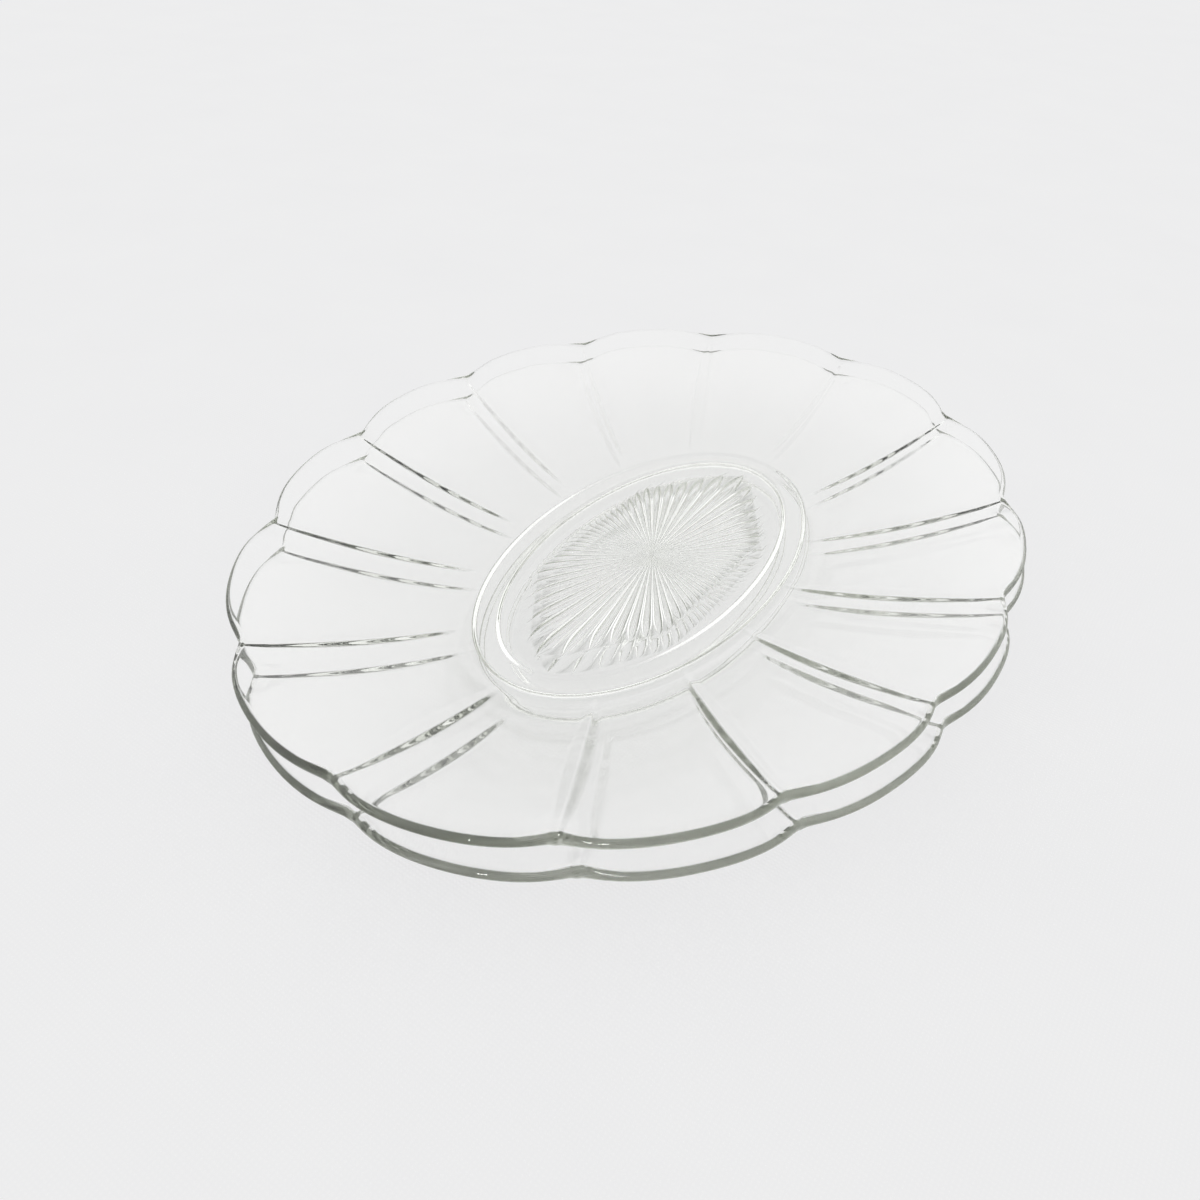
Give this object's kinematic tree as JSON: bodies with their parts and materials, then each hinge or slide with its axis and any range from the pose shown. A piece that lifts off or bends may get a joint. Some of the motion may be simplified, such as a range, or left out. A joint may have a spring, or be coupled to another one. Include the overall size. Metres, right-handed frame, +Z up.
{
  "type": "oval serving dish",
  "caption": "Nested oval serving dishes of clear pressed glass, each with a scalloped rim, ribbed panels and a foot ring under a rayed star; the upper dish lifts out.",
  "frame": {"origin": "middle of the nested pair's outline, on the surface that the lower dish stands on", "axes": "+X along the long axis of the oval, +Y along its short axis, +Z up"},
  "size_m": [0.3064, 0.2384, 0.0353],
  "materials": {
    "clear_glass": "fire-polished clear glass"
  },
  "bodies": {
    "lower": {"lower_dish": "clear_glass"},
    "upper": {"upper_dish": "clear_glass"}
  },
  "joints": [
    {"name": "dish_lift", "type": "slide", "parent": "lower", "child": "upper", "axis": [0, 0, 1], "range_m": [0, 0.06]}
  ]
}
